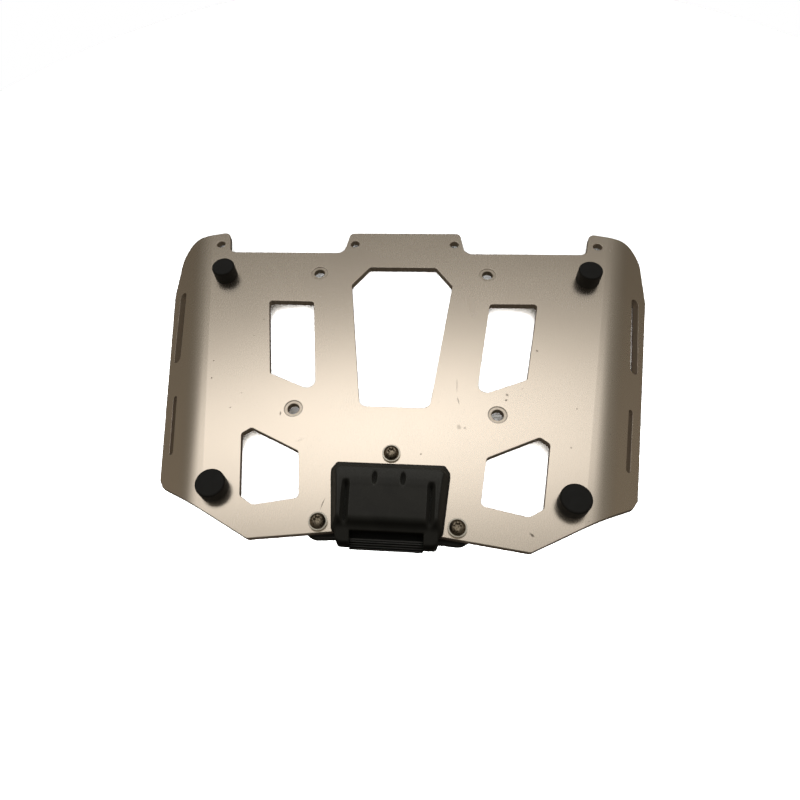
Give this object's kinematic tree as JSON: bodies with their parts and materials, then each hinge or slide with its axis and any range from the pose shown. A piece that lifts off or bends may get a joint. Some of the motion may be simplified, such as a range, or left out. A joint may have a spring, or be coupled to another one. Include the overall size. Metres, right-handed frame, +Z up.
{
  "type": "motorcycle luggage rack",
  "caption": "Flat aluminium rack plate with splayed side flanges, windows, strap slots, rubber buffers and a black rear catch block for a case.",
  "frame": {"origin": "on the ground plane under the middle of the rack, where the lower edges of the two flanges stand", "axes": "+X across the rack to the right, +Y towards the edge with the three tabs, +Z up out of the sheet's top face"},
  "size_m": [0.3932, 0.2744, 0.0335],
  "materials": {
    "sheet_aluminium": "satin",
    "black_rubber": "matte",
    "black_moulding": "fine grained",
    "zinc_steel": "zinc plated",
    "dark_steel": "satin"
  },
  "bodies": {
    "root": {"rack_plate": "sheet_aluminium", "front_left_buffer": "black_rubber", "front_right_buffer": "black_rubber", "rear_left_buffer": "black_rubber", "rear_right_buffer": "black_rubber", "front_left_buffer_stud": "zinc_steel", "front_right_buffer_stud": "zinc_steel", "rear_left_buffer_stud": "zinc_steel", "rear_right_buffer_stud": "zinc_steel", "buffer_washers": "zinc_steel", "buffer_lock_nuts": "zinc_steel", "latch_top_washers": "zinc_steel", "latch_bottom_washers": "zinc_steel", "latch_lock_nuts": "zinc_steel", "front_latch_screw": "dark_steel", "rear_left_latch_screw": "dark_steel", "rear_right_latch_screw": "dark_steel", "latch_housing": "black_moulding", "latch_base": "black_moulding", "catch_plate": "zinc_steel", "housing_screws": "dark_steel", "catch_plate_screws": "dark_steel", "catch_plate_nuts": "zinc_steel"}
  },
  "joints": []
}
